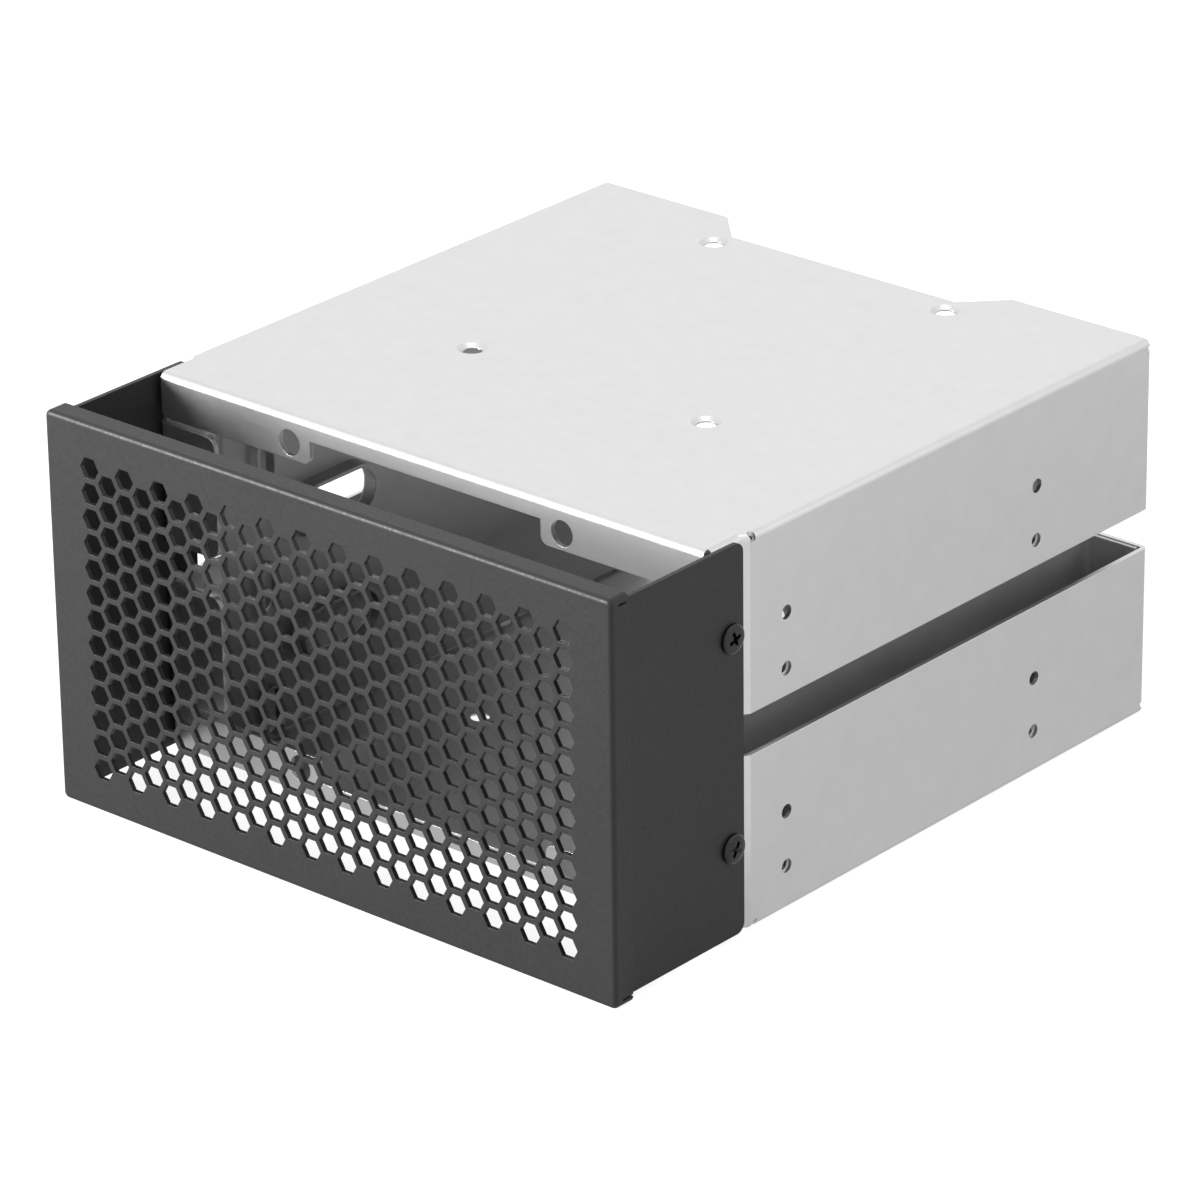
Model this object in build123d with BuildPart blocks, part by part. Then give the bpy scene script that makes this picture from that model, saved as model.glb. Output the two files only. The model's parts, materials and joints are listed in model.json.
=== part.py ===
from build123d import *
import os
from math import sqrt

# Hard drive cage that fills two stacked 5.25 inch bays and carries three 3.5 inch drives
# Millimetres, +Z up, the honeycomb front faces -Y, the origin lies under the middle of the cage

# Steel sheet of the cage
STEEL_SHEET = 1.0
STEEL_BEND = 0.5  # inside radius of a fold in the two channels
STEEL_WIDTH = 146.0
STEEL_DEPTH = 140.0
CHANNEL_HEIGHT = 37.4
CHANNEL_GAP = 8.8  # open slot between the upper and the lower channel

# Black honeycomb front
BEZEL_SHEET = 1.0
BEZEL_RETURN = 5.0  # depth of the tray's four sides
BEZEL_OVERHANG = 0.9  # how far the front stands past the steel, above and below
BEZEL_CORNER = 0.4  # inside radius of the tray's corners, seen from the front
BEZEL_EDGE = 1.0  # rounding around the front face
CORNER_SLIT = 0.4  # gap where two sides of the tray meet
HEX_PITCH = 5.5
HEX_WEB = 1.15  # metal between two holes
HEX_COLUMNS = 27
HEX_ROWS = 13

# Black side plates between the front and the steel
FAN_SPACE = 29.0  # from the back of the honeycomb to the steel
PLATE_SHEET = 1.0
PLATE_CLEARANCE = 0.5  # from the plate's rear edge to the step in the channel's wall
PLATE_CORNER = 2.2

# Screws that hold the side plates
SCREW_DIAMETER = 3.0
SCREW_LENGTH = 5.0
SCREW_HEAD_DIAMETER = 6.2
SCREW_HEAD_HEIGHT = 1.0
SCREW_HEAD_CHAMFER = 0.4
SCREW_CLEARANCE = 0.15  # around the screw in its holes
SCREW_SPACING = 44.4
SCREW_INSET = 4.0  # from the step in the channel's wall forward to the screws

# Front ends of the channels
STRIP_DEPTH = 10.0  # part of each wall that lies behind the side plate
JOGGLE_RUN = 1.5  # length of the sloping step in the wall
BEND_RELIEF = 1.7  # round notch at each end of a strip's fold
EAR_WIDTH = 15.5
EAR_CORNER = 2.7
EAR_RELIEF = 1.25  # from the ear to the fan flange
FAN_FLANGE_DROP = 4.4
FAN_LOBE_MARGIN = 5.45  # from a fan hole's centre to the inner edge of its lobe
FAN_LOBE_EDGE = 3.55  # from a fan hole's centre to the lower edge of its lobe
FAN_LOBE_CORNER = 1.8
FAN_HOLE_SPACING = 71.5
FAN_HOLE_DIAMETER = 5.5

# Rear ends of the channels
REAR_FLANGE_WIDTH = 13.5
CORNER_RELIEF = 1.0  # notch where two folds meet
CUTOUT_WIDE = 78.2
CUTOUT_NARROW = 59.6
CUTOUT_DEPTH = 9.5

# Screw holes of the cage
SIDE_HOLE_DIAMETER = 3.0
SIDE_HOLE_START = 52.5  # from the front face to the first holes
SIDE_HOLE_HEIGHT = 9.5  # above the bottom of a bay
SIDE_HOLE_SPACING = 79.25
SIDE_HOLE_RISE = 11.84
BAY_PITCH = 42.4
PLATE_HOLE_DIAMETER = 4.0
PLATE_HOLE_SINK = 6.2
PLATE_HOLE_SINK_ANGLE = 110.0
PLATE_HOLE_START = 79.2  # from the front face to the first holes
PLATE_HOLE_SPACING = 76.6
PLATE_HOLE_WIDTH = 61.72

# Inner walls that carry the drives
WALL_SHEET = 1.0
WALL_BEND = 1.5
WALL_SPACE = 115.0  # between the two inner walls
WALL_CLEARANCE = 0.3  # from the walls' flanges to the channels' folds
WALL_GAP = 0.8  # open line between a wall's edge and the plate beside it
FLANGE_RELIEF = 0.2  # how far the flanges stay below the edge of a channel
DRIVE_COUNT = 3
DRIVE_PITCH = 27.5
DRIVE_SCREW_HEIGHT = 6.35
SLOT_START = 44.5  # from the front face to the drive screws' slots
SLOT_HEIGHT = 10.5
SLOT_WIDTH = 4.1
SLOT_COLLAR = 1.5  # height of the drawn rim around a slot, towards the drives
WINDOW_START = 63.9  # from the front face to the middle of each window
WINDOW_LENGTH = 21.8
WINDOW_HEIGHT = 10.2
WINDOW_COLLAR = 3.0
COLLAR_LIP = 0.8
COLLAR_DRAFT = 11.0  # slope of a window's rim

# Places that follow from these sizes, with depths counted from the front face
cage_start = BEZEL_SHEET + FAN_SPACE
cage_end = cage_start + STEEL_DEPTH
strip_end = cage_start + STRIP_DEPTH
joggle_end = strip_end + JOGGLE_RUN
steel_height = 2 * CHANNEL_HEIGHT + CHANNEL_GAP
bezel_width = STEEL_WIDTH + 2 * BEZEL_SHEET
bezel_height = steel_height + 2 * BEZEL_OVERHANG
bezel_corner = BEZEL_CORNER + BEZEL_SHEET
middle = bezel_height / 2
roof = middle + steel_height / 2
floor = middle - steel_height / 2 + STEEL_SHEET
brim = middle + CHANNEL_GAP / 2
steel_fold = STEEL_BEND + STEEL_SHEET
strip_width = STEEL_WIDTH - 2 * PLATE_SHEET
plate_rear = cage_end - STEEL_SHEET
screw_depth = strip_end - SCREW_INSET
screw_hole = SCREW_DIAMETER + 2 * SCREW_CLEARANCE
drive_middle = floor + DRIVE_SCREW_HEIGHT + (DRIVE_COUNT - 1) * DRIVE_PITCH / 2
fan_hole_height = middle + FAN_HOLE_SPACING / 2
fan_lobe_inner = FAN_HOLE_SPACING / 2 - FAN_LOBE_MARGIN
fan_lobe_drop = roof - fan_hole_height + FAN_LOBE_EDGE


def front_plane(depth):
    """Upright plane that faces the viewer, a given depth behind the front face."""
    return Plane(origin=(0, depth - cage_end / 2, 0), x_dir=(1, 0, 0), z_dir=(0, -1, 0))


def plan_plane(height):
    """Level plane whose second axis is the depth behind the front face."""
    return Plane(origin=(0, -cage_end / 2, height), x_dir=(1, 0, 0), z_dir=(0, 0, 1))


def side_plane(across):
    """Upright plane that faces +X, whose first axis is the depth behind the front face."""
    return Plane(origin=(across, -cage_end / 2, 0), x_dir=(0, 1, 0), z_dir=(1, 0, 0))


def folded_sheet(points, bend, sheet, side):
    """Outline of a bent sheet seen along its folds, with its outer face through the points."""
    with BuildSketch() as outline:
        with BuildLine():
            FilletPolyline(*points, radius=bend + sheet)
            offset(amount=sheet, side=side)
        make_face()
    return outline.sketch


def channel_section(width):
    """Cross section of the upper channel, a plate with a wall on each side."""
    corners = [(-width / 2, brim), (-width / 2, roof), (width / 2, roof), (width / 2, brim)]
    return folded_sheet(corners, STEEL_BEND, STEEL_SHEET, Side.RIGHT)


def side_holes(bay):
    """Four drive screw holes in the side of one bay, counted from the lower one."""
    centre_depth = SIDE_HOLE_START + SIDE_HOLE_SPACING / 2
    centre_height = roof - steel_height + bay * BAY_PITCH + SIDE_HOLE_HEIGHT + SIDE_HOLE_RISE / 2
    with BuildSketch() as holes:
        with Locations((centre_depth, centre_height)):
            with GridLocations(SIDE_HOLE_SPACING, SIDE_HOLE_RISE, 2, 2):
                Circle(SIDE_HOLE_DIAMETER / 2)
    return holes.sketch


def drive_slots(margin):
    """Upright slots for the side screws of the drives, enlarged by a margin all round."""
    with BuildSketch() as slots:
        with Locations((SLOT_START, drive_middle)):
            with GridLocations(0, DRIVE_PITCH, 1, DRIVE_COUNT):
                SlotOverall(SLOT_HEIGHT + 2 * margin, SLOT_WIDTH + 2 * margin, rotation=90)
    return slots.sketch


def windows(margin):
    """One long hole between each two drives, enlarged by a margin all round."""
    with BuildSketch() as holes:
        with Locations((WINDOW_START, drive_middle)):
            with GridLocations(0, DRIVE_PITCH, 1, DRIVE_COUNT - 1):
                SlotOverall(WINDOW_LENGTH + 2 * margin, WINDOW_HEIGHT + 2 * margin)
    return holes.sketch


# Honeycomb front: a shallow tray with a rounded face
with BuildPart() as front_grille:
    with BuildSketch(front_plane(0)):
        with Locations((0, middle)):
            RectangleRounded(bezel_width, bezel_height, bezel_corner)
    extrude(amount=-BEZEL_RETURN)
    fillet(front_grille.faces().sort_by(Axis.Y)[0].edges(), BEZEL_EDGE)
    with BuildSketch(front_plane(BEZEL_SHEET)):
        with Locations((0, middle)):
            RectangleRounded(bezel_width - 2 * BEZEL_SHEET, bezel_height - 2 * BEZEL_SHEET, BEZEL_CORNER)
    extrude(amount=-BEZEL_RETURN, mode=Mode.SUBTRACT)
    # Slits where the top and bottom sides meet the left and right sides
    slit_start = BEZEL_SHEET + BEZEL_EDGE
    slit_height = bezel_height / 2 - bezel_corner - CORNER_SLIT / 2
    with BuildSketch(side_plane(-bezel_width / 2)):
        with Locations((slit_start, middle + slit_height), (slit_start, middle - slit_height)):
            Rectangle(BEZEL_RETURN, CORNER_SLIT, align=(Align.MIN, Align.CENTER))
    extrude(amount=bezel_width, mode=Mode.SUBTRACT)
    # Hexagonal holes in staggered columns
    with BuildSketch(front_plane(0)):
        for column in range(HEX_COLUMNS):
            across = (column - (HEX_COLUMNS - 1) / 2) * HEX_PITCH * sqrt(3) / 2
            with Locations((across, middle)):
                with GridLocations(0, HEX_PITCH, 1, HEX_ROWS - column % 2):
                    RegularPolygon((HEX_PITCH - HEX_WEB) / 2, 6, major_radius=False)
    extrude(amount=-BEZEL_SHEET, mode=Mode.SUBTRACT)
front_grille.part.label = "front_grille"

# Side plates: flat sheets inside the tray, flush with the channels' walls
with BuildPart() as right_side_plate:
    plate_height = bezel_height - 2 * bezel_corner
    plate_end = strip_end - PLATE_CLEARANCE
    with BuildSketch(side_plane(strip_width / 2)):
        with Locations((BEZEL_SHEET, middle)):
            Rectangle(plate_end - BEZEL_SHEET, plate_height, align=(Align.MIN, Align.CENTER))
        with Locations((screw_depth, middle)):
            with GridLocations(0, SCREW_SPACING, 1, 2):
                Circle(screw_hole / 2, mode=Mode.SUBTRACT)
    extrude(amount=PLATE_SHEET)
    fillet(right_side_plate.edges().filter_by(Axis.X).group_by(Axis.Y)[-1], PLATE_CORNER)
right_side_plate.part.label = "right_side_plate"

with BuildPart() as left_side_plate:
    mirror(right_side_plate.part, about=Plane.YZ)
left_side_plate.part.label = "left_side_plate"

# Channel: one folded sheet, drawn as the upper one
with BuildPart() as channel_blank:
    # Ears at the front of the walls
    ear_inner = strip_width / 2 - EAR_WIDTH
    ear_height = CHANNEL_HEIGHT - fan_lobe_drop - EAR_RELIEF
    ear_points = [(ear_inner, cage_start), (strip_width / 2, cage_start), (strip_width / 2, strip_end)]
    with BuildSketch(plan_plane(brim)):
        add(folded_sheet(ear_points, STEEL_BEND, STEEL_SHEET, Side.LEFT))
        mirror(about=Plane.YZ)
    extrude(amount=ear_height)
    fillet(channel_blank.edges().filter_by(Axis.Y).group_by(lambda edge: abs(edge.center().X))[0], EAR_CORNER)
    # Plate and walls, which step out by the thickness of the side plates
    with BuildSketch(front_plane(cage_start + steel_fold)):
        add(channel_section(strip_width))
    extrude(amount=steel_fold - STRIP_DEPTH)
    with BuildSketch(front_plane(strip_end)):
        add(channel_section(strip_width))
    with BuildSketch(front_plane(joggle_end)):
        add(channel_section(STEEL_WIDTH))
    loft()
    with BuildSketch(front_plane(joggle_end)):
        add(channel_section(STEEL_WIDTH))
    extrude(amount=joggle_end - plate_rear)
    # Rear flanges, below a notch in the corner of the two folds
    with BuildSketch(front_plane(cage_end - steel_fold)):
        with Locations((0, brim)):
            Rectangle(STEEL_WIDTH, CHANNEL_HEIGHT - steel_fold, align=(Align.CENTER, Align.MIN))
    extrude(amount=-steel_fold, mode=Mode.SUBTRACT)
    flange_inner = STEEL_WIDTH / 2 - REAR_FLANGE_WIDTH
    flange_points = [(STEEL_WIDTH / 2, joggle_end), (STEEL_WIDTH / 2, cage_end), (flange_inner, cage_end)]
    with BuildSketch(plan_plane(brim)):
        add(folded_sheet(flange_points, STEEL_BEND, STEEL_SHEET, Side.LEFT))
        mirror(about=Plane.YZ)
    extrude(amount=CHANNEL_HEIGHT - steel_fold - CORNER_RELIEF)
    # Round notches in the corner folds at both ends of the strips
    relief_start = (strip_width / 2 - STEEL_SHEET / 2, cage_start + steel_fold / 2)
    relief_end = (STEEL_WIDTH / 2 - STEEL_SHEET / 2, joggle_end + 0.6 * BEND_RELIEF)
    with BuildSketch(plan_plane(roof)):
        with Locations(relief_start, relief_end):
            Circle(BEND_RELIEF / 2)
        mirror(about=Plane.YZ)
    extrude(amount=-BEND_RELIEF, mode=Mode.SUBTRACT)
    # Fan flange, folded down from the front of the plate and deeper at its two ends
    fan_flange_end = strip_width / 2 - STEEL_SHEET
    fan_points = [(cage_start, roof - FAN_FLANGE_DROP), (cage_start, roof), (strip_end, roof)]
    with BuildSketch(side_plane(-fan_flange_end)):
        add(folded_sheet(fan_points, STEEL_BEND, STEEL_SHEET, Side.RIGHT))
    extrude(amount=2 * fan_flange_end)
    with BuildSketch(front_plane(cage_start)) as fan_lobes:
        with Locations((fan_lobe_inner, roof - steel_fold)):
            Rectangle(
                fan_flange_end - fan_lobe_inner,
                fan_lobe_drop - steel_fold,
                align=(Align.MIN, Align.MAX),
            )
        fillet(fan_lobes.vertices().group_by(Axis.Y)[0], FAN_LOBE_CORNER)
        mirror(about=Plane.YZ)
    extrude(amount=-STEEL_SHEET)
    with BuildSketch(front_plane(cage_start)):
        with Locations((0, fan_hole_height)):
            with GridLocations(FAN_HOLE_SPACING, 0, 2, 1):
                Circle(FAN_HOLE_DIAMETER / 2)
    extrude(amount=-STEEL_SHEET, mode=Mode.SUBTRACT)
    # Cut-out in the rear edge and countersunk holes in the plate
    with BuildSketch(plan_plane(roof)):
        with BuildLine():
            Polyline(
                (-CUTOUT_WIDE / 2, cage_end),
                (-CUTOUT_NARROW / 2, cage_end - CUTOUT_DEPTH),
                (CUTOUT_NARROW / 2, cage_end - CUTOUT_DEPTH),
                (CUTOUT_WIDE / 2, cage_end),
                close=True,
            )
        make_face()
    extrude(amount=-STEEL_SHEET, mode=Mode.SUBTRACT)
    with Locations(plan_plane(roof)):
        with Locations((0, PLATE_HOLE_START + PLATE_HOLE_SPACING / 2)):
            with GridLocations(PLATE_HOLE_WIDTH, PLATE_HOLE_SPACING, 2, 2):
                CounterSinkHole(
                    PLATE_HOLE_DIAMETER / 2,
                    PLATE_HOLE_SINK / 2,
                    depth=STEEL_SHEET,
                    counter_sink_angle=PLATE_HOLE_SINK_ANGLE,
                )
    # Holes for the side plates' screws
    with BuildSketch(side_plane(-STEEL_WIDTH / 2)):
        with Locations((screw_depth, middle + SCREW_SPACING / 2)):
            Circle(screw_hole / 2)
    extrude(amount=STEEL_WIDTH, mode=Mode.SUBTRACT)

with BuildPart() as upper_channel:
    add(channel_blank)
    with BuildSketch(side_plane(-STEEL_WIDTH / 2)):
        add(side_holes(1))
    extrude(amount=STEEL_WIDTH, mode=Mode.SUBTRACT)
upper_channel.part.label = "upper_channel"

with BuildPart() as lower_channel:
    mirror(channel_blank.part, about=Plane.XY.offset(middle))
    with BuildSketch(side_plane(-STEEL_WIDTH / 2)):
        add(side_holes(0))
    extrude(amount=STEEL_WIDTH, mode=Mode.SUBTRACT)
lower_channel.part.label = "lower_channel"

# Drive walls: upright sheets between the two plates, flanged outwards behind the ears and at the rear
with BuildPart() as right_drive_wall:
    wall_height = steel_height - 2 * STEEL_SHEET - 2 * WALL_GAP
    wall_start = cage_start + STEEL_SHEET
    wall_end = cage_end - STEEL_SHEET
    wall_fold = WALL_BEND + WALL_SHEET
    wall_face = WALL_SPACE / 2
    flange_height = CHANNEL_HEIGHT - steel_fold - WALL_CLEARANCE - FLANGE_RELIEF
    wall_points = [
        (strip_width / 2 - steel_fold - WALL_CLEARANCE, wall_start),
        (wall_face, wall_start),
        (wall_face, wall_end),
        (STEEL_WIDTH / 2 - steel_fold - WALL_CLEARANCE, wall_end),
    ]
    with BuildSketch(plan_plane(floor + WALL_GAP)):
        with Locations((wall_face, wall_start + wall_fold)):
            Rectangle(WALL_SHEET, wall_end - wall_start - 2 * wall_fold, align=(Align.MIN, Align.MIN))
    extrude(amount=wall_height)
    with BuildSketch(plan_plane(floor + STEEL_BEND + WALL_CLEARANCE)):
        add(folded_sheet(wall_points, WALL_BEND, WALL_SHEET, Side.RIGHT))
    extrude(amount=flange_height)
    with BuildSketch(plan_plane(brim + FLANGE_RELIEF)):
        add(folded_sheet(wall_points, WALL_BEND, WALL_SHEET, Side.RIGHT))
    extrude(amount=flange_height)
    # Slots for the drives' screws and a window between each two of them, with rims drawn inwards
    window_lip = wall_face - WINDOW_COLLAR
    with BuildSketch(side_plane(wall_face)):
        add(drive_slots(COLLAR_LIP))
    extrude(amount=-SLOT_COLLAR)
    with BuildSketch(side_plane(window_lip)):
        add(windows(COLLAR_LIP))
    extrude(amount=WINDOW_COLLAR, taper=-COLLAR_DRAFT)
    with BuildSketch(side_plane(wall_face - SLOT_COLLAR)):
        add(drive_slots(0))
    extrude(amount=SLOT_COLLAR + WALL_SHEET, mode=Mode.SUBTRACT)
    with BuildSketch(side_plane(window_lip)):
        add(windows(0))
    extrude(amount=WINDOW_COLLAR + WALL_SHEET, taper=-COLLAR_DRAFT, mode=Mode.SUBTRACT)
right_drive_wall.part.label = "right_drive_wall"

with BuildPart() as left_drive_wall:
    mirror(right_drive_wall.part, about=Plane.YZ)
left_drive_wall.part.label = "left_drive_wall"


def bezel_screw(side, height):
    """Pan head screw through a side plate into the channel's wall, on the side with the sign given."""
    seat = Plane(
        origin=(side * STEEL_WIDTH / 2, screw_depth - cage_end / 2, height),
        x_dir=(0, 1, 0),
        z_dir=(side, 0, 0),
    )
    with BuildPart() as screw:
        with BuildSketch(seat):
            Circle(SCREW_HEAD_DIAMETER / 2)
        extrude(amount=SCREW_HEAD_HEIGHT)
        head_face = screw.faces().sort_by(lambda face: side * face.center().X)[-1]
        chamfer(head_face.edges(), SCREW_HEAD_CHAMFER)
        with BuildSketch(seat):
            Circle(SCREW_DIAMETER / 2)
        extrude(amount=-SCREW_LENGTH)
    return screw.part


os.makedirs("parts", exist_ok=True)
sheet_pieces = [
    front_grille.part,
    right_side_plate.part,
    left_side_plate.part,
    upper_channel.part,
    lower_channel.part,
    right_drive_wall.part,
    left_drive_wall.part,
]
screws = []
for side_name, side in (("right", 1), ("left", -1)):
    for height_name, height in (("upper", middle + SCREW_SPACING / 2), ("lower", middle - SCREW_SPACING / 2)):
        screw = bezel_screw(side, height)
        screw.label = f"{side_name}_{height_name}_screw"
        screws.append(screw)
for piece in sheet_pieces + screws:
    export_step(piece, f"parts/{piece.label}.step")
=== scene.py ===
"""Hard drive cage: finishes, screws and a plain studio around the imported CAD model."""

import json
import logging
import math
from abc import ABC, abstractmethod
from dataclasses import dataclass, field
from enum import Enum
from typing import Any

import bpy
from mathutils import Matrix, Vector

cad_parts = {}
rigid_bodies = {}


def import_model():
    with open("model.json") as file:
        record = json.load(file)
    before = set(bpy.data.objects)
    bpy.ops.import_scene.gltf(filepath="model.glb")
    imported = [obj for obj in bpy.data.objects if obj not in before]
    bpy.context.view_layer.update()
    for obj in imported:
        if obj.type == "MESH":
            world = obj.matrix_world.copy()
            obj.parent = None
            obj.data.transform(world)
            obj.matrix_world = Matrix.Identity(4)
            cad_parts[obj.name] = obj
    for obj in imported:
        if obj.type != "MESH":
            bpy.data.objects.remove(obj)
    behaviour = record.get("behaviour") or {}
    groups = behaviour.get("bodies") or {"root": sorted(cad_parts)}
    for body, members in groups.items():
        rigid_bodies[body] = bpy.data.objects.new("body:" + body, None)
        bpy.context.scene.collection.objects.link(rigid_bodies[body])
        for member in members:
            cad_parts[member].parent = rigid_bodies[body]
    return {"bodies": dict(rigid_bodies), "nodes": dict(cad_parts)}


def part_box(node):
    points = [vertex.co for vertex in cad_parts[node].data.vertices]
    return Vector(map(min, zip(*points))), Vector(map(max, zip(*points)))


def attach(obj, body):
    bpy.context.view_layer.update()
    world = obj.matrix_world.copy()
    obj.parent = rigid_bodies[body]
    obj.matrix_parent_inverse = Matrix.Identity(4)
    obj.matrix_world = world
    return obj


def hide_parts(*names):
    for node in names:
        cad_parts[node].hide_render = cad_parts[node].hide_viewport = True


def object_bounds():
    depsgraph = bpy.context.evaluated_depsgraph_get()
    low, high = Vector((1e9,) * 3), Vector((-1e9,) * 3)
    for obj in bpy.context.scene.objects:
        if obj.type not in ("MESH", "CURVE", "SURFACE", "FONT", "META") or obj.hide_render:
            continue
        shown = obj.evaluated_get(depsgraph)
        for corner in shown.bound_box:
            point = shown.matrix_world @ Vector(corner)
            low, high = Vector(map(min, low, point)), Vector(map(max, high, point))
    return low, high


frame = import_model()
cad_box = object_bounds()

logging.basicConfig(level=logging.INFO, format="%(name)s: %(message)s")
log = logging.getLogger("drive_cage")

MM = 0.001
WHITE = "#ffffff"
SQUARE = 4  # corners of a square outline
EIGHTH_TURN = math.pi / 4
QUARTER_TURN = math.pi / 2
EDGE_SAMPLES = 4

# The sRGB curve: a straight start up to the knee, and a power above it.
HEX_TOP = 255
SRGB_KNEE = 0.04045
SRGB_SLOPE = 12.92
SRGB_OFFSET = 0.055
SRGB_POWER = 2.4

# The Mix node has sockets for numbers, vectors and colours. These are the colours'.
MIX_FIRST = 6
MIX_SECOND = 7
MIX_RESULT = 2

Sockets = dict[str, bpy.types.NodeSocket]
Colour = tuple[float, float, float, float]


def linear(colour: str) -> Colour:
    """Turn an sRGB hex colour into the linear values that the shaders take.

    Args:
        colour: Six hex digits after a hash sign.

    Returns:
        Linear red, green and blue, and an alpha of one.
    """
    channels = [int(colour[place:place + 2], 16) / HEX_TOP for place in (1, 3, 5)]
    curve = [
        c / SRGB_SLOPE if c <= SRGB_KNEE else ((c + SRGB_OFFSET) / (1 + SRGB_OFFSET)) ** SRGB_POWER
        for c in channels
    ]
    return curve[0], curve[1], curve[2], 1.0


def per_metre(size_mm: float) -> float:
    """Return the texture scale at which a pattern repeats about every size_mm millimetres."""
    return 1 / (size_mm * MM)


def add_node(
    tree: bpy.types.NodeTree,
    kind: str,
    settings: dict[str, Any] | None = None,
    inputs: dict[int | str, Any] | None = None,
) -> bpy.types.Node:
    """Add a node, set its properties, and fill or link its inputs.

    Args:
        tree: The node tree that receives the node.
        kind: Blender's type name of the node.
        settings: Properties of the node by name.
        inputs: Values, or output sockets to link from, by input name or number.
            A list links each of its sockets to the one input.

    Returns:
        The new node.
    """
    node = tree.nodes.new(kind)
    for name, value in (settings or {}).items():
        setattr(node, name, value)
    for key, value in (inputs or {}).items():
        for source in value if isinstance(value, list) else [value]:
            if isinstance(source, bpy.types.NodeSocket):
                tree.links.new(source, node.inputs[key])
            else:
                node.inputs[key].default_value = source
    return node


def work_out(
    tree: bpy.types.NodeTree, known: Sockets, steps: dict[str, tuple[str | float, ...]]
) -> Sockets:
    """Add a chain of arithmetic to a node tree.

    Args:
        tree: The node tree.
        known: Sockets that the steps may name.
        steps: The operation and its values under each result's name. A value is
            a number, or the name of a known socket or an earlier result.

    Returns:
        The known sockets and the results by name.
    """
    found = dict(known)
    for name, (operation, *values) in steps.items():
        inputs = {number: found.get(value, value) for number, value in enumerate(values)}
        found[name] = add_node(tree, "ShaderNodeMath", {"operation": operation}, inputs).outputs[0]
    return found


def blank_material(name: str) -> tuple[bpy.types.Material, bpy.types.NodeTree]:
    """Make a material with an empty node tree.

    Args:
        name: Name of the material.

    Returns:
        The material and its tree.
    """
    material = bpy.data.materials.new(name)
    material.use_nodes = True
    material.node_tree.nodes.clear()
    return material, material.node_tree


class GrainDirection(Enum):
    """How densely a grain lies along each axis of the cage."""

    EVEN = (1.0, 1.0, 1.0)
    ALONG_DEPTH = (1.0, 0.12, 1.0)


@dataclass(frozen=True, kw_only=True)
class Finish(ABC):
    """What all finishes share: a fine grain that varies the gloss and raises the surface.

    Sizes are in millimetres. The gloss runs through its whole spread between
    the grain's low and high, and an edge radius of zero leaves edges sharp.
    """

    name: str
    roughness: float
    roughness_spread: float
    grain_size: float
    grain_height: float
    grain_detail: float = 2.0
    grain_contrast: float = 0.5
    grain_low: float = 0.3
    grain_high: float = 0.7
    direction: GrainDirection = GrainDirection.EVEN
    edge_radius: float = 0.25

    @abstractmethod
    def tone(
        self, tree: bpy.types.NodeTree, place: bpy.types.NodeSocket
    ) -> bpy.types.NodeSocket | Colour:
        """Return the surface's colour.

        Args:
            tree: The material's node tree.
            place: Position on the piece.

        Returns:
            The colour, or the socket that holds it.
        """

    @abstractmethod
    def optics(self) -> dict[str, float]:
        """Return the shader's other inputs by name."""

    def material(self) -> bpy.types.Material:
        """Build the material and return it."""
        material, tree = blank_material(self.name)
        place = add_node(tree, "ShaderNodeTexCoord").outputs["Object"]
        drawn_out = add_node(
            tree, "ShaderNodeMapping", inputs={"Vector": place, "Scale": self.direction.value}
        )
        grain = add_node(
            tree,
            "ShaderNodeTexNoise",
            inputs={
                "Vector": drawn_out.outputs[0],
                "Scale": per_metre(self.grain_size),
                "Detail": self.grain_detail,
                "Roughness": self.grain_contrast,
            },
        ).outputs["Fac"]
        gloss = add_node(
            tree,
            "ShaderNodeMapRange",
            inputs={
                "Value": grain,
                "From Min": self.grain_low,
                "From Max": self.grain_high,
                "To Min": self.roughness - self.roughness_spread / 2,
                "To Max": self.roughness + self.roughness_spread / 2,
            },
        )
        relief: dict[str, Any] = {
            "Height": grain,
            "Distance": self.grain_height * MM,
            "Strength": 1.0,
        }
        if self.edge_radius:
            relief["Normal"] = add_node(
                tree,
                "ShaderNodeBevel",
                {"samples": EDGE_SAMPLES},
                {"Radius": self.edge_radius * MM},
            ).outputs[0]
        shader = add_node(
            tree,
            "ShaderNodeBsdfPrincipled",
            inputs={
                "Base Color": self.tone(tree, place),
                "Roughness": gloss.outputs[0],
                "Normal": add_node(tree, "ShaderNodeBump", inputs=relief).outputs[0],
                **self.optics(),
            },
        )
        add_node(tree, "ShaderNodeOutputMaterial", inputs={"Surface": shader.outputs[0]})
        return material


@dataclass(frozen=True, kw_only=True)
class CloudedFinish(Finish):
    """A finish whose colour drifts between two near tones in soft clouds."""

    colour: str
    cloud: str
    cloud_size: float
    cloud_detail: float = 2.0
    cloud_contrast: float = 0.5
    cloud_low: float = 0.0
    cloud_high: float = 1.0

    def tone(
        self, tree: bpy.types.NodeTree, place: bpy.types.NodeSocket
    ) -> bpy.types.NodeSocket:
        """Return the colour's socket: the first tone with clouds of the second."""
        clouds = add_node(
            tree,
            "ShaderNodeTexNoise",
            inputs={
                "Vector": place,
                "Scale": per_metre(self.cloud_size),
                "Detail": self.cloud_detail,
                "Roughness": self.cloud_contrast,
            },
        )
        share = add_node(
            tree,
            "ShaderNodeMapRange",
            inputs={
                "Value": clouds.outputs["Fac"],
                "From Min": self.cloud_low,
                "From Max": self.cloud_high,
            },
        )
        return add_node(
            tree,
            "ShaderNodeMix",
            {"data_type": "RGBA"},
            {
                "Factor": share.outputs[0],
                MIX_FIRST: linear(self.colour),
                MIX_SECOND: linear(self.cloud),
            },
        ).outputs[MIX_RESULT]


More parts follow.
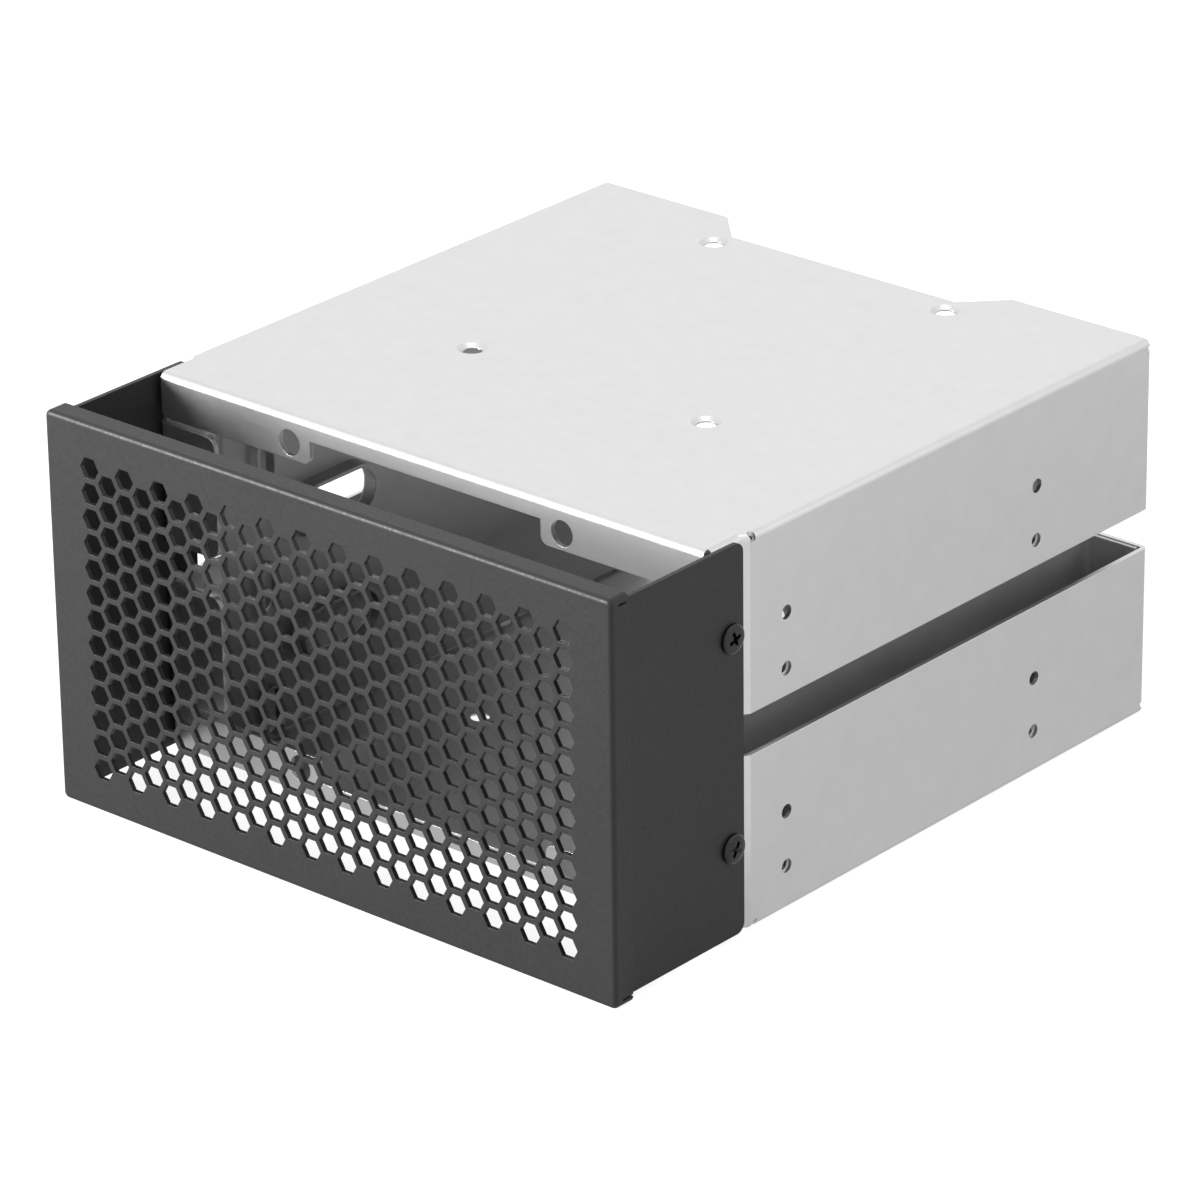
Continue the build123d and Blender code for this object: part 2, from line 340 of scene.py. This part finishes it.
@dataclass(frozen=True, kw_only=True)
class GalvanisedSteel(CloudedFinish):
    """Electro-galvanised sheet steel, cold rolled and bare.

    The zinc gives the eye an even satin grey, with faint clouds a few
    millimetres wide and short fine lines along the rolling direction. The
    lines are drawn wider than real ones, which are too fine to show.
    """

    name: str = "electro_galvanised_steel"
    roughness: float = 0.38
    roughness_spread: float = 0.05
    grain_size: float = 0.9
    grain_height: float = 0.004
    grain_detail: float = 3.0
    grain_contrast: float = 0.65
    direction: GrainDirection = GrainDirection.ALONG_DEPTH
    colour: str = "#d7d7d7"
    cloud: str = "#d4d4d4"
    cloud_size: float = 5.0
    cloud_detail: float = 4.0
    cloud_contrast: float = 0.6
    cloud_low: float = 0.35
    cloud_high: float = 0.65

    def optics(self) -> dict[str, float]:
        """Return the shader's inputs that make it a metal."""
        return {"Metallic": 1.0}


@dataclass(frozen=True, kw_only=True)
class PaintedShadeSteel(GalvanisedSteel):
    """Galvanised sheet for the drive walls, duller, with painted shade on its side towards the
    drives.

    Its zinc is painted a little darker than the channels' as shade. Up to a reach from the middle
    plane a grey painted shade is mixed in, strongest near the bottom and weakest near the top,
    while the side towards the channels keeps its brightness.
    """

    name: str = "galvanised_steel_with_painted_shade"
    roughness: float = 0.6
    grain_size: float = 1.4
    # Zinc painted a little darker than the channels' as shade.
    colour: str = "#d2d2d2"
    cloud: str = "#cecece"
    # Grey painted shade: mixed in fully at the low height and at its weakest share at the high
    # height, inside the reach from the middle plane.
    painted_shade: str = "#6e6e6e"
    shade_reach: float = 58.0
    shade_low: float = 24.0
    shade_high: float = 62.0
    shade_weakest: float = 0.25

    def tone(
        self, tree: bpy.types.NodeTree, place: bpy.types.NodeSocket
    ) -> bpy.types.NodeSocket:
        """Return the colour's socket: the zinc with painted shade mixed in up to its reach from
        the middle plane, darker towards the bottom.
        """
        bright = super().tone(tree, place)
        parts = add_node(tree, "ShaderNodeSeparateXYZ", inputs={0: place}).outputs
        thickness = add_node(
            tree,
            "ShaderNodeMapRange",
            inputs={
                "Value": parts["Z"],
                "From Min": self.shade_low * MM,
                "From Max": self.shade_high * MM,
                "To Min": 1.0,
                "To Max": self.shade_weakest,
            },
        )
        # Painted shade: strongest low down, only inside the reach from the middle plane.
        painted_shade = work_out(
            tree,
            {"x": parts["X"], "thickness": thickness.outputs[0]},
            {
                "from_middle": ("ABSOLUTE", "x"),
                "inside": ("LESS_THAN", "from_middle", self.shade_reach * MM),
                "share": ("MULTIPLY", "inside", "thickness"),
            },
        )
        return add_node(
            tree,
            "ShaderNodeMix",
            {"data_type": "RGBA"},
            {"Factor": painted_shade["share"], MIX_FIRST: bright, MIX_SECOND: linear(self.painted_shade)},
        ).outputs[MIX_RESULT]


@dataclass(frozen=True, kw_only=True)
class PowderCoat(CloudedFinish):
    """Black polyester powder coat, baked on sheet steel.

    The cured grains give the eye a fine matt pebble and a soft sheen where
    the sheet turns towards the light. The pebble is drawn coarser than a real
    one, which is too fine to show.
    """

    name: str = "black_powder_coat"
    roughness: float = 0.48
    roughness_spread: float = 0.12
    grain_size: float = 0.7
    grain_height: float = 0.02
    colour: str = "#212122"
    cloud: str = "#262627"
    cloud_size: float = 28.0
    resin_ior: float = 1.46

    def optics(self) -> dict[str, float]:
        """Return the shader's inputs that make it a plastic film."""
        return {"Metallic": 0.0, "IOR": self.resin_ior}


@dataclass(frozen=True, kw_only=True)
class BlackZinc(Finish):
    """Black zinc plating on a cold headed steel screw.

    The thin passivated layer below its clear seal gives the eye a dark grey
    metal with a highlight on the rounded rim of the head. Its grain is drawn
    coarser than a real one, which is too fine to show.
    """

    name: str = "black_zinc_plating"
    roughness: float = 0.35
    roughness_spread: float = 0.2
    grain_size: float = 0.5
    grain_height: float = 0.006
    grain_low: float = 0.0
    grain_high: float = 1.0
    edge_radius: float = 0.0
    colour: str = "#222224"
    seal_weight: float = 0.6
    seal_roughness: float = 0.18

    def tone(self, tree: bpy.types.NodeTree, place: bpy.types.NodeSocket) -> Colour:
        """Return the plating's one colour."""
        return linear(self.colour)

    def optics(self) -> dict[str, float]:
        """Return the shader's inputs that make it a metal below a clear seal."""
        return {
            "Metallic": 1.0,
            "Coat Weight": self.seal_weight,
            "Coat Roughness": self.seal_roughness,
        }


def dress_node(name: str, material: bpy.types.Material) -> None:
    """Give a CAD node a material in each of its slots.

    Args:
        name: Name of the CAD node.
        material: The finish that it takes.
    """
    piece = frame["nodes"][name]
    if not piece.material_slots:
        piece.data.materials.append(material)
    for place in piece.material_slots:
        place.material = material
    log.info("%s wears %s", name, material.name)


@dataclass
class SheetGroup:
    """CAD nodes of bent sheet that share one finish."""

    nodes: tuple[str, ...]
    finish: CloudedFinish

    def dress(self) -> None:
        """Give every node of the group the finish."""
        material = self.finish.material()
        for name in self.nodes:
            dress_node(name, material)


@dataclass(frozen=True)
class Seat:
    """Place of one repeat in metres, and its turn about its own axis in degrees."""

    place: tuple[float, float, float]
    turn: float = 0.0


@dataclass
class GrownPiece(ABC):
    """A piece that a node tree repeats on the points of a small mesh.

    Faces that meet at more than the sharp angle, in degrees, keep a hard edge.
    """

    name: str
    slot: str
    sharp_angle: float = 35.0

    @abstractmethod
    def sizes(self) -> dict[str, float]:
        """Return the tree's size inputs by name, in millimetres."""

    @abstractmethod
    def seats(self) -> list[Seat]:
        """Return the seat of each repeat."""

    @abstractmethod
    def shape(self, tree: bpy.types.NodeTree, size: Sockets) -> bpy.types.NodeSocket:
        """Add the nodes of one repeat, which stands on its own z axis.

        Args:
            tree: The node tree.
            size: The tree's inputs by name.

        Returns:
            The socket that holds the repeat.
        """

    @staticmethod
    def stand(
        tree: bpy.types.NodeTree,
        part: bpy.types.NodeSocket,
        lift: bpy.types.NodeSocket,
        turn: float = 0.0,
    ) -> bpy.types.NodeSocket:
        """Turn a part of the repeat about the z axis and lift it along it.

        Args:
            tree: The node tree.
            part: The part's geometry.
            lift: The way up, or down where it is negative.
            turn: The turn in radians.

        Returns:
            The socket that holds the part in its place.
        """
        shift = add_node(tree, "ShaderNodeCombineXYZ", inputs={2: lift})
        return add_node(
            tree,
            "GeometryNodeTransform",
            inputs={
                "Geometry": part,
                "Translation": shift.outputs[0],
                "Rotation": (0.0, 0.0, turn),
            },
        ).outputs[0]

    def build_tree(self) -> bpy.types.NodeTree:
        """Build the tree: one repeat on each point, aimed away from the cage's middle."""
        tree = bpy.data.node_groups.new(self.name, "GeometryNodeTree")
        tree.interface.new_socket("Points", in_out="INPUT", socket_type="NodeSocketGeometry")
        for name in self.sizes():
            tree.interface.new_socket(name, in_out="INPUT", socket_type="NodeSocketFloat")
        tree.interface.new_socket("Finish", in_out="INPUT", socket_type="NodeSocketMaterial")
        tree.interface.new_socket("Piece", in_out="OUTPUT", socket_type="NodeSocketGeometry")
        size = dict(add_node(tree, "NodeGroupInput").outputs.items())
        spot = add_node(tree, "GeometryNodeInputPosition").outputs[0]
        across = add_node(tree, "ShaderNodeSeparateXYZ", inputs={0: spot}).outputs["X"]
        side = work_out(tree, {"across": across}, {"side": ("SIGN", "across")})["side"]
        outwards = add_node(tree, "ShaderNodeCombineXYZ", inputs={0: side})
        aimed = add_node(
            tree,
            "FunctionNodeAlignRotationToVector",
            {"axis": "Z"},
            {"Vector": outwards.outputs[0]},
        )
        turn = add_node(
            tree, "GeometryNodeInputNamedAttribute", {"data_type": "FLOAT"}, {"Name": "turn"}
        )
        spun = add_node(
            tree,
            "FunctionNodeAxisAngleToRotation",
            inputs={"Axis": (0.0, 0.0, 1.0), "Angle": turn.outputs["Attribute"]},
        )
        rotation = add_node(
            tree,
            "FunctionNodeRotateRotation",
            {"rotation_space": "LOCAL"},
            {0: aimed.outputs[0], 1: spun.outputs[0]},
        )
        placed = add_node(
            tree,
            "GeometryNodeInstanceOnPoints",
            inputs={
                "Points": size["Points"],
                "Instance": self.shape(tree, size),
                "Rotation": rotation.outputs[0],
            },
        )
        real = add_node(
            tree, "GeometryNodeRealizeInstances", inputs={"Geometry": placed.outputs[0]}
        )
        dressed = add_node(
            tree,
            "GeometryNodeSetMaterial",
            inputs={"Geometry": real.outputs[0], "Material": size["Finish"]},
        )
        add_node(tree, "NodeGroupOutput", inputs={0: dressed.outputs[0]})
        return tree

    def grow(self, material: bpy.types.Material) -> bpy.types.Object:
        """Run the tree once and keep its result as a plain mesh that rides on the cage.

        Args:
            material: The finish of every repeat.

        Returns:
            The finished piece.
        """
        seats = self.seats()
        points = bpy.data.meshes.new(f"{self.name}_seats")
        points.from_pydata([seat.place for seat in seats], [], [])
        turns = points.attributes.new("turn", "FLOAT", "POINT")
        turns.data.foreach_set("value", [math.radians(seat.turn) for seat in seats])
        source = bpy.data.objects.new(f"{self.name}_source", points)
        bpy.context.scene.collection.objects.link(source)
        modifier = source.modifiers.new(self.name, "NODES")
        modifier.node_group = self.build_tree()
        values = {name: size * MM for name, size in self.sizes().items()}
        values["Finish"] = material
        for socket in modifier.node_group.interface.items_tree:
            if socket.in_out == "INPUT" and socket.name in values:
                modifier[socket.identifier] = values[socket.name]
        graph = bpy.context.evaluated_depsgraph_get()
        mesh = bpy.data.meshes.new_from_object(source.evaluated_get(graph))
        bpy.data.objects.remove(source)
        mesh.shade_smooth()
        mesh.set_sharp_from_angle(angle=math.radians(self.sharp_angle))
        piece = bpy.data.objects.new(self.name, mesh)
        bpy.context.scene.collection.objects.link(piece)
        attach(piece, next(iter(frame["bodies"])))
        log.info("%s has %d faces", piece.name, len(mesh.polygons))
        return piece


@dataclass
class BezelScrews(GrownPiece):
    """Four pan head screws with a cross recess that hold the black side plates.

    Sizes are in millimetres, and each node's number is its screw's turn in
    degrees. The taper is the recess's span at its floor as a share of the
    span at its mouth, and the head's top face begins at the top share of
    its height.
    """

    name: str = "bezel_screws"
    slot: str = "black_screw"
    nodes: dict[str, float] = field(
        default_factory=lambda: {
            "right_upper_screw": 20.0,
            "right_lower_screw": 62.0,
            "left_upper_screw": 35.0,
            "left_lower_screw": 5.0,
        }
    )
    finish: BlackZinc = BlackZinc()
    head_diameter: float = 6.2
    head_height: float = 1.0
    head_rounding: float = 0.5
    head_crown: float = 0.12
    head_sides: int = 48
    head_rings: int = 8
    crown_rings: int = 6
    top_share: float = 0.999
    recess_span: float = 4.4
    recess_width: float = 1.1
    recess_depth: float = 0.85
    recess_taper: float = 0.55
    shank_diameter: float = 3.0
    shank_length: float = 5.0
    shank_sides: int = 24
    thread_pitch: float = 0.5
    thread_depth: float = 0.22
    thread_steps: int = 24

    def sizes(self) -> dict[str, float]:
        """Return the tree's size inputs by name, in millimetres."""
        return {
            "Head diameter": self.head_diameter,
            "Head height": self.head_height,
            "Rounding": self.head_rounding,
            "Crown": self.head_crown,
            "Recess span": self.recess_span,
            "Recess width": self.recess_width,
            "Recess depth": self.recess_depth,
            "Shank diameter": self.shank_diameter,
            "Shank length": self.shank_length,
            "Thread pitch": self.thread_pitch,
            "Thread depth": self.thread_depth,
        }

    def seats(self) -> list[Seat]:
        """Return the middle of each CAD screw's seat and the screw's turn."""
        seats = []
        for name, turn in self.nodes.items():
            low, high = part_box(name)
            side = math.copysign(1.0, low.x + high.x)
            reach = max(abs(low.x), abs(high.x)) - self.head_height * MM
            place = (side * reach, (low.y + high.y) / 2, (low.z + high.z) / 2)
            seats.append(Seat(place, turn))
        return seats

    def head(self, tree: bpy.types.NodeTree, size: Sockets) -> bpy.types.NodeSocket:
        """Add the head: a disc of rings, rounded at its rim and crowned.

        Args:
            tree: The node tree.
            size: The tree's inputs by name.

        Returns:
            The socket that holds the head.
        """
        spot = add_node(tree, "GeometryNodeInputPosition").outputs[0]
        parts = add_node(tree, "ShaderNodeSeparateXYZ", inputs={0: spot}).outputs
        level = add_node(tree, "ShaderNodeCombineXYZ", inputs={0: parts["X"], 1: parts["Y"]})
        reach = add_node(
            tree, "ShaderNodeVectorMath", {"operation": "LENGTH"}, {0: level.outputs[0]}
        )
        known = size | {
            "x": parts["X"],
            "y": parts["Y"],
            "z": parts["Z"],
            "reach": reach.outputs["Value"],
        }
        steps = {
            "radius": ("MULTIPLY", "Head diameter", 0.5),
            "body": ("SUBTRACT", "Head height", "Crown"),
            "half_body": ("MULTIPLY", "body", 0.5),
            "rise": ("ADD", "z", "half_body"),
            # The rim is a quarter circle from the bend up to the top face.
            "bend": ("SUBTRACT", "body", "Rounding"),
            "past_bend": ("SUBTRACT", "rise", "bend"),
            "over": ("MAXIMUM", "past_bend", 0.0),
            "rounding_squared": ("POWER", "Rounding", 2.0),
            "over_squared": ("POWER", "over", 2.0),
            "arc_squared": ("SUBTRACT", "rounding_squared", "over_squared"),
            "arc_kept": ("MAXIMUM", "arc_squared", 0.0),
            "arc": ("SQRT", "arc_kept"),
            "flat": ("SUBTRACT", "radius", "Rounding"),
            "rim": ("ADD", "flat", "arc"),
            "pull": ("DIVIDE", "rim", "radius"),
            # The crown is a shallow dome on the top face.
            "part_out": ("DIVIDE", "reach", "radius"),
            "part_squared": ("POWER", "part_out", 2.0),
            "dome_share": ("SUBTRACT", 1.0, "part_squared"),
            "dome": ("MULTIPLY", "Crown", "dome_share"),
            "top": ("MULTIPLY", "body", self.top_share),
            "on_top": ("GREATER_THAN", "rise", "top"),
            "dome_lift": ("MULTIPLY", "dome", "on_top"),
            "new_x": ("MULTIPLY", "x", "pull"),
            "new_y": ("MULTIPLY", "y", "pull"),
            "new_z": ("ADD", "rise", "dome_lift"),
        }
        found = work_out(tree, known, steps)
        disc = add_node(
            tree,
            "GeometryNodeMeshCylinder",
            {"fill_type": "TRIANGLE_FAN"},
            {
                "Vertices": self.head_sides,
                "Side Segments": self.head_rings,
                "Fill Segments": self.crown_rings,
                "Radius": found["radius"],
                "Depth": found["body"],
            },
        )
        moved = add_node(
            tree,
            "ShaderNodeCombineXYZ",
            inputs={0: found["new_x"], 1: found["new_y"], 2: found["new_z"]},
        )
        return add_node(
            tree,
            "GeometryNodeSetPosition",
            inputs={"Geometry": disc.outputs[0], "Position": moved.outputs[0]},
        ).outputs[0]

    def blades(self, tree: bpy.types.NodeTree, size: Sockets) -> list[bpy.types.NodeSocket]:
        """Add the two crossed blades that cut the recess, narrower towards its bottom.

        Args:
            tree: The node tree.
            size: The tree's inputs by name.

        Returns:
            The sockets that hold the blades.
        """
        steps = {
            "corner": ("MULTIPLY", "Recess span", math.sqrt(0.5)),
            "lower_corner": ("MULTIPLY", "corner", self.recess_taper),
            "height": ("MULTIPLY", "Recess depth", 2.0),
            "thinness": ("DIVIDE", "Recess width", "Recess span"),
            "lift": ("SUBTRACT", "Head height", "Recess depth"),
        }
        found = work_out(tree, size, steps)
        blade = add_node(
            tree,
            "GeometryNodeMeshCone",
            inputs={
                "Vertices": SQUARE,
                "Radius Top": found["corner"],
                "Radius Bottom": found["lower_corner"],
                "Depth": found["height"],
            },
        )
        squared = add_node(
            tree,
            "GeometryNodeTransform",
            inputs={"Geometry": blade.outputs[0], "Rotation": (0.0, 0.0, EIGHTH_TURN)},
        )
        scale = add_node(
            tree, "ShaderNodeCombineXYZ", inputs={0: 1.0, 1: found["thinness"], 2: 1.0}
        )
        thinned = add_node(
            tree,
            "GeometryNodeTransform",
            inputs={"Geometry": squared.outputs[0], "Scale": scale.outputs[0]},
        )
        return [
            self.stand(tree, thinned.outputs[0], found["lift"], turn)
            for turn in (0.0, QUARTER_TURN)
        ]

    def shank(self, tree: bpy.types.NodeTree, size: Sockets) -> list[bpy.types.NodeSocket]:
        """Add the shank's core and the ridge that winds around it as the thread.

        Args:
            tree: The node tree.
            size: The tree's inputs by name.

        Returns:
            The sockets that hold the core and the thread.
        """
        steps = {
            "half": ("MULTIPLY", "Shank diameter", 0.5),
            "core_radius": ("SUBTRACT", "half", "Thread depth"),
            "both_ends": ("MULTIPLY", "Thread depth", 2.0),
            "run": ("SUBTRACT", "Shank length", "both_ends"),
            "turns": ("DIVIDE", "run", "Thread pitch"),
            "downwards": ("MULTIPLY", "run", -1.0),
            "core_lift": ("MULTIPLY", "Shank length", -0.5),
            "thread_lift": ("MULTIPLY", "Thread depth", -1.0),
        }
        found = work_out(tree, size, steps)
        core = add_node(
            tree,
            "GeometryNodeMeshCylinder",
            inputs={
                "Vertices": self.shank_sides,
                "Radius": found["core_radius"],
                "Depth": size["Shank length"],
            },
        )
        helix = add_node(
            tree,
            "GeometryNodeCurveSpiral",
            inputs={
                "Resolution": self.thread_steps,
                "Rotations": found["turns"],
                "Start Radius": found["core_radius"],
                "End Radius": found["core_radius"],
                "Height": found["downwards"],
            },
        )
        ridge = add_node(
            tree,
            "GeometryNodeCurvePrimitiveCircle",
            inputs={"Resolution": SQUARE, "Radius": size["Thread depth"]},
        )
        thread = add_node(
            tree,
            "GeometryNodeCurveToMesh",
            inputs={
                "Curve": helix.outputs[0],
                "Profile Curve": ridge.outputs[0],
                "Fill Caps": True,
            },
        )
        return [
            self.stand(tree, core.outputs[0], found["core_lift"]),
            self.stand(tree, thread.outputs[0], found["thread_lift"]),
        ]

    def shape(self, tree: bpy.types.NodeTree, size: Sockets) -> bpy.types.NodeSocket:
        """Add the nodes of one screw, whose head stands on the seat.

        Args:
            tree: The node tree.
            size: The tree's inputs by name.

        Returns:
            The socket that holds the screw.
        """
        cut = add_node(
            tree,
            "GeometryNodeMeshBoolean",
            {"operation": "DIFFERENCE", "solver": "EXACT"},
            {"Mesh 1": self.head(tree, size), "Mesh 2": self.blades(tree, size)},
        )
        return add_node(
            tree,
            "GeometryNodeJoinGeometry",
            inputs={0: [cut.outputs[0], *self.shank(tree, size)]},
        ).outputs[0]

    def build(self) -> bpy.types.Object:
        """Make the screws, which stand for the CAD screws, and return them."""
        piece = self.grow(self.finish.material())
        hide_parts(*self.nodes)
        return piece


@dataclass
class TappedCollars(GrownPiece):
    """Short tapped collars behind the lower row of drive holes in each bay's sides.

    Sizes are in millimetres, with depths counted from the front face.
    """

    name: str = "tapped_collars"
    slot: str = "bare_steel"
    bore: float = 2.5
    wall: float = 0.45
    length: float = 1.5
    sides: int = 32
    sheet: float = 1.0
    first_depth: float = 52.5
    spacing: float = 79.25
    row_height: float = 9.5
    bay_pitch: float = 42.4

    def sizes(self) -> dict[str, float]:
        """Return the tree's size inputs by name, in millimetres."""
        return {"Bore": self.bore, "Wall": self.wall, "Length": self.length}

    def seats(self) -> list[Seat]:
        """Return the middle of each collar's outer end, on the inner face of the sheet."""
        low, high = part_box("lower_channel")
        across = high.x - self.sheet * MM
        depths = [
            cad_box[0].y + (self.first_depth + hole * self.spacing) * MM for hole in (0, 1)
        ]
        heights = [low.z + (self.row_height + bay * self.bay_pitch) * MM for bay in (0, 1)]
        return [
            Seat((side * across, depth, height))
            for side in (1.0, -1.0)
            for height in heights
            for depth in depths
        ]

    def shape(self, tree: bpy.types.NodeTree, size: Sockets) -> bpy.types.NodeSocket:
        """Add the nodes of one collar, which reaches inwards from the sheet.

        Args:
            tree: The node tree.
            size: The tree's inputs by name.

        Returns:
            The socket that holds the collar.
        """
        steps = {
            "half_bore": ("MULTIPLY", "Bore", 0.5),
            "half_wall": ("MULTIPLY", "Wall", 0.5),
            "middle": ("ADD", "half_bore", "half_wall"),
            "lift": ("MULTIPLY", "Length", -0.5),
        }
        found = work_out(tree, size, steps)
        ring = add_node(
            tree,
            "GeometryNodeCurvePrimitiveCircle",
            inputs={"Resolution": self.sides, "Radius": found["middle"]},
        )
        section = add_node(
            tree,
            "GeometryNodeCurvePrimitiveQuadrilateral",
            inputs={"Width": size["Wall"], "Height": size["Length"]},
        )
        tube = add_node(
            tree,
            "GeometryNodeCurveToMesh",
            inputs={"Curve": ring.outputs[0], "Profile Curve": section.outputs[0]},
        )
        return self.stand(tree, tube.outputs[0], found["lift"])

    def build(self, finish: GalvanisedSteel) -> bpy.types.Object:
        """Make the collars in the channels' finish and return them."""
        return self.grow(finish.material())


@dataclass(frozen=True)
class StudioLamp:
    """Square soft box that points at the cage, in metres and watts."""

    name: str
    place: tuple[float, float, float]
    width: float
    power: float

    def build(self, target: Vector) -> bpy.types.Object:
        """Make the lamp.

        Args:
            target: The point that the lamp faces.

        Returns:
            The lamp's object.
        """
        light = bpy.data.lights.new(self.name, "AREA")
        light.shape = "SQUARE"
        light.size = self.width
        light.energy = self.power
        lamp = bpy.data.objects.new(self.name, light)
        bpy.context.scene.collection.objects.link(lamp)
        lamp.location = self.place
        lamp.rotation_mode = "QUATERNION"
        lamp.rotation_quaternion = (target - lamp.location).to_track_quat("-Z", "Y")
        log.info("%s stands at %s", self.name, self.place)
        return lamp


@dataclass
class Studio:
    """Plain white studio: floor, surroundings and soft lamps.

    The floor's width is in metres. Its lift makes it white for the camera, and
    a part of that reaches reflections, so that the shade below the cage stays
    dark in the bare steel. The camera and reflections see the surroundings at
    the white strength, and the cage is lit by them at the ambient strength.
    """

    floor_width: float = 12.0
    floor_colour: str = "#b4b4b4"
    floor_lift: float = 0.85
    reflected_lift: float = 0.55
    white: float = 1.0
    ambient: float = 0.4
    lamps: tuple[StudioLamp, ...] = (
        StudioLamp("key_softbox", place=(-0.8, -1.0, 0.36), width=0.5, power=28.0),
        StudioLamp("rear_softbox", place=(-0.85, 1.15, 0.95), width=1.2, power=0.7),
        StudioLamp("top_softbox", place=(0.25, -0.1, 1.9), width=1.4, power=5.0),
        StudioLamp("side_softbox", place=(1.15, 0.5, 0.8), width=1.0, power=1.6),
    )

    def shown_share(
        self, tree: bpy.types.NodeTree, strength: float = 1.0, reflected: float = 1.0
    ) -> bpy.types.NodeSocket:
        """Return how far a ray sees the plain background in place of what lights the cage.

        Args:
            tree: The node tree of the floor or of the surroundings.
            strength: The share for the camera, and through clear pieces.
            reflected: The part of that share that a reflection gets.

        Returns:
            The socket that holds the share, which is zero for all other rays.
        """
        path = dict(add_node(tree, "ShaderNodeLightPath").outputs.items())
        steps = {
            "direct": ("MAXIMUM", "Is Camera Ray", "Is Transmission Ray"),
            "mirrored": ("MULTIPLY", "Is Glossy Ray", reflected),
            "seen": ("MAXIMUM", "direct", "mirrored"),
            "share": ("MULTIPLY", "seen", strength),
        }
        return work_out(tree, path, steps)["share"]

    def build_floor(self) -> bpy.types.Object:
        """Make the pale floor, which keeps the cage's shadow, and return it."""
        half = self.floor_width / 2
        mesh = bpy.data.meshes.new("studio_floor")
        corners = [(-half, -half, 0.0), (half, -half, 0.0), (half, half, 0.0), (-half, half, 0.0)]
        mesh.from_pydata(corners, [], [(0, 1, 2, 3)])
        floor = bpy.data.objects.new("studio_floor", mesh)
        bpy.context.scene.collection.objects.link(floor)
        material, tree = blank_material("matt_white_paper")
        paper = add_node(
            tree,
            "ShaderNodeBsdfDiffuse",
            inputs={"Color": linear(self.floor_colour), "Roughness": 1.0},
        )
        lift = self.shown_share(tree, self.floor_lift, self.reflected_lift)
        glow = add_node(
            tree, "ShaderNodeEmission", inputs={"Color": linear(WHITE), "Strength": lift}
        )
        both = add_node(
            tree, "ShaderNodeAddShader", inputs={0: paper.outputs[0], 1: glow.outputs[0]}
        )
        add_node(tree, "ShaderNodeOutputMaterial", inputs={"Surface": both.outputs[0]})
        mesh.materials.append(material)
        log.info("%s is %.0f m wide", floor.name, self.floor_width)
        return floor

    def build_surroundings(self) -> None:
        """Light the cage from all sides, and show white behind it and in its reflections."""
        world = bpy.data.worlds.new("white_surroundings")
        world.use_nodes = True
        tree = world.node_tree
        tree.nodes.clear()
        soft, bright = (
            add_node(
                tree,
                "ShaderNodeBackground",
                inputs={"Color": linear(WHITE), "Strength": strength},
            ).outputs[0]
            for strength in (self.ambient, self.white)
        )
        shown = add_node(
            tree, "ShaderNodeMixShader", inputs={0: self.shown_share(tree), 1: soft, 2: bright}
        )
        add_node(tree, "ShaderNodeOutputWorld", inputs={"Surface": shown.outputs[0]})
        bpy.context.scene.world = world

    def build(self) -> None:
        """Make the floor, the surroundings and the lamps."""
        self.build_floor()
        self.build_surroundings()
        low, high = cad_box
        for lamp in self.lamps:
            lamp.build((low + high) / 2)


@dataclass(frozen=True)
class StudioCamera:
    """Camera on the photograph's line of sight.

    Angles are in degrees and lengths in millimetres. What it sees starts and
    ends at the clip shares of its distance.
    """

    azimuth: float = 40.9527
    elevation: float = 24.1239
    roll: float = -0.7562
    distance: float = 1342.58
    target: tuple[float, float, float] = (-2.51, 0.0, 34.55)
    lens: float = 197.74
    sensor: float = 36.0
    clip_near: float = 0.01
    clip_far: float = 20.0

    def build(self) -> bpy.types.Object:
        """Make the camera the scene's own and return it."""
        around = math.radians(self.azimuth)
        above = math.radians(self.elevation)
        tilt = math.radians(self.roll)
        back = Vector(
            (
                math.sin(around) * math.cos(above),
                -math.cos(around) * math.cos(above),
                math.sin(above),
            )
        )
        level = Vector((math.cos(around), math.sin(around), 0.0))
        upright = back.cross(level)
        right = level * math.cos(tilt) + upright * math.sin(tilt)
        up = back.cross(right)
        data = bpy.data.cameras.new("studio_camera")
        data.sensor_width = self.sensor
        data.lens = self.lens
        data.clip_start = self.distance * MM * self.clip_near
        data.clip_end = self.distance * MM * self.clip_far
        camera = bpy.data.objects.new("studio_camera", data)
        bpy.context.scene.collection.objects.link(camera)
        turn = Matrix((right, up, back)).transposed().to_4x4()
        place = (Vector(self.target) + back * self.distance) * MM
        camera.matrix_world = Matrix.Translation(place) @ turn
        bpy.context.scene.camera = camera
        log.info("%s stands at %s", camera.name, [round(value, 4) for value in place])
        return camera


def main() -> None:
    """Build the studio and dress the cage, one sub-assembly after the other."""
    bpy.context.scene.view_settings.view_transform = "Standard"
    StudioCamera().build()
    Studio().build()
    SheetGroup(("front_grille", "right_side_plate", "left_side_plate"), PowderCoat()).dress()
    SheetGroup(("upper_channel", "lower_channel"), GalvanisedSteel()).dress()
    # The drive walls wear zinc with painted shade towards the drives, darker towards the bottom.
    SheetGroup(("right_drive_wall", "left_drive_wall"), PaintedShadeSteel()).dress()
    BezelScrews().build()
    TappedCollars().build(GalvanisedSteel(name="tapped_galvanised_steel"))


if __name__ == "__main__":
    main()
